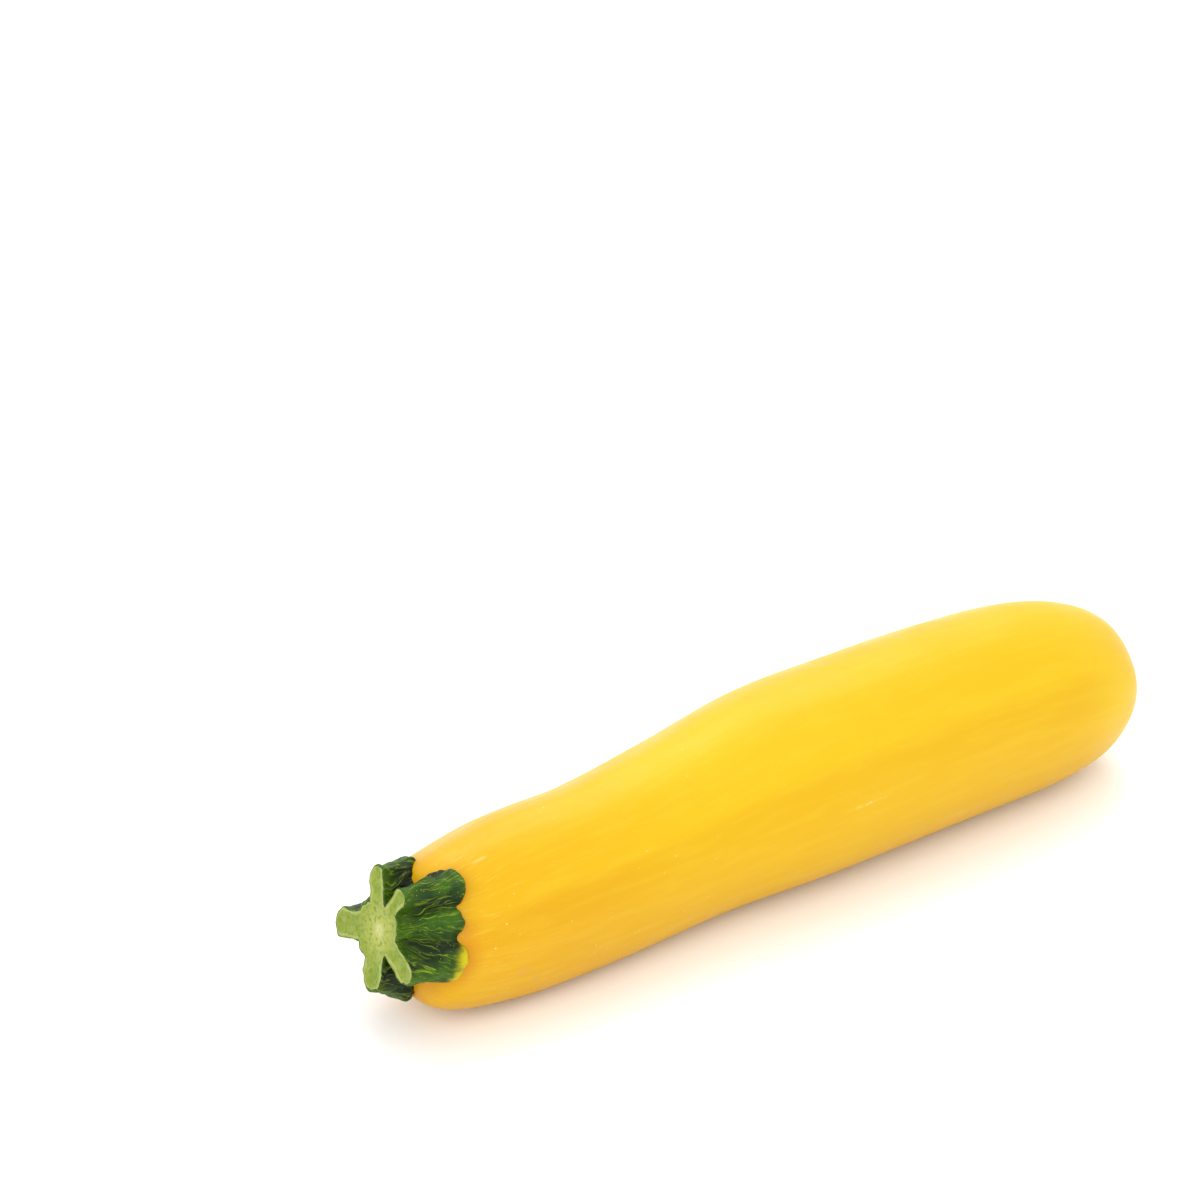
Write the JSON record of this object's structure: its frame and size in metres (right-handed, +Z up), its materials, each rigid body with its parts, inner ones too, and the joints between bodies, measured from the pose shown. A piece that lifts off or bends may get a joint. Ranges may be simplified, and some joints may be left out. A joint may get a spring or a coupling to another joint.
{
  "type": "yellow zucchini",
  "caption": "Whole yellow zucchini lying on its side: a slightly waisted, softly ribbed fruit with a short ridged green stub of stalk, cut across.",
  "frame": {"origin": "on the surface that the zucchini lies on, under the middle of its bounding box", "axes": "+X along the fruit from the stalk to the blossom end, +Z up"},
  "size_m": [0.1866, 0.042, 0.0416],
  "materials": {
    "skin": "satin, smooth waxy yellow vegetable skin with faint pale flecks",
    "stalk": "satin, fibrous dark green rind with paler streaks, and a moist pale green cut face"
  },
  "bodies": {
    "root": {"fruit": "skin", "stalk": "stalk"}
  },
  "joints": []
}
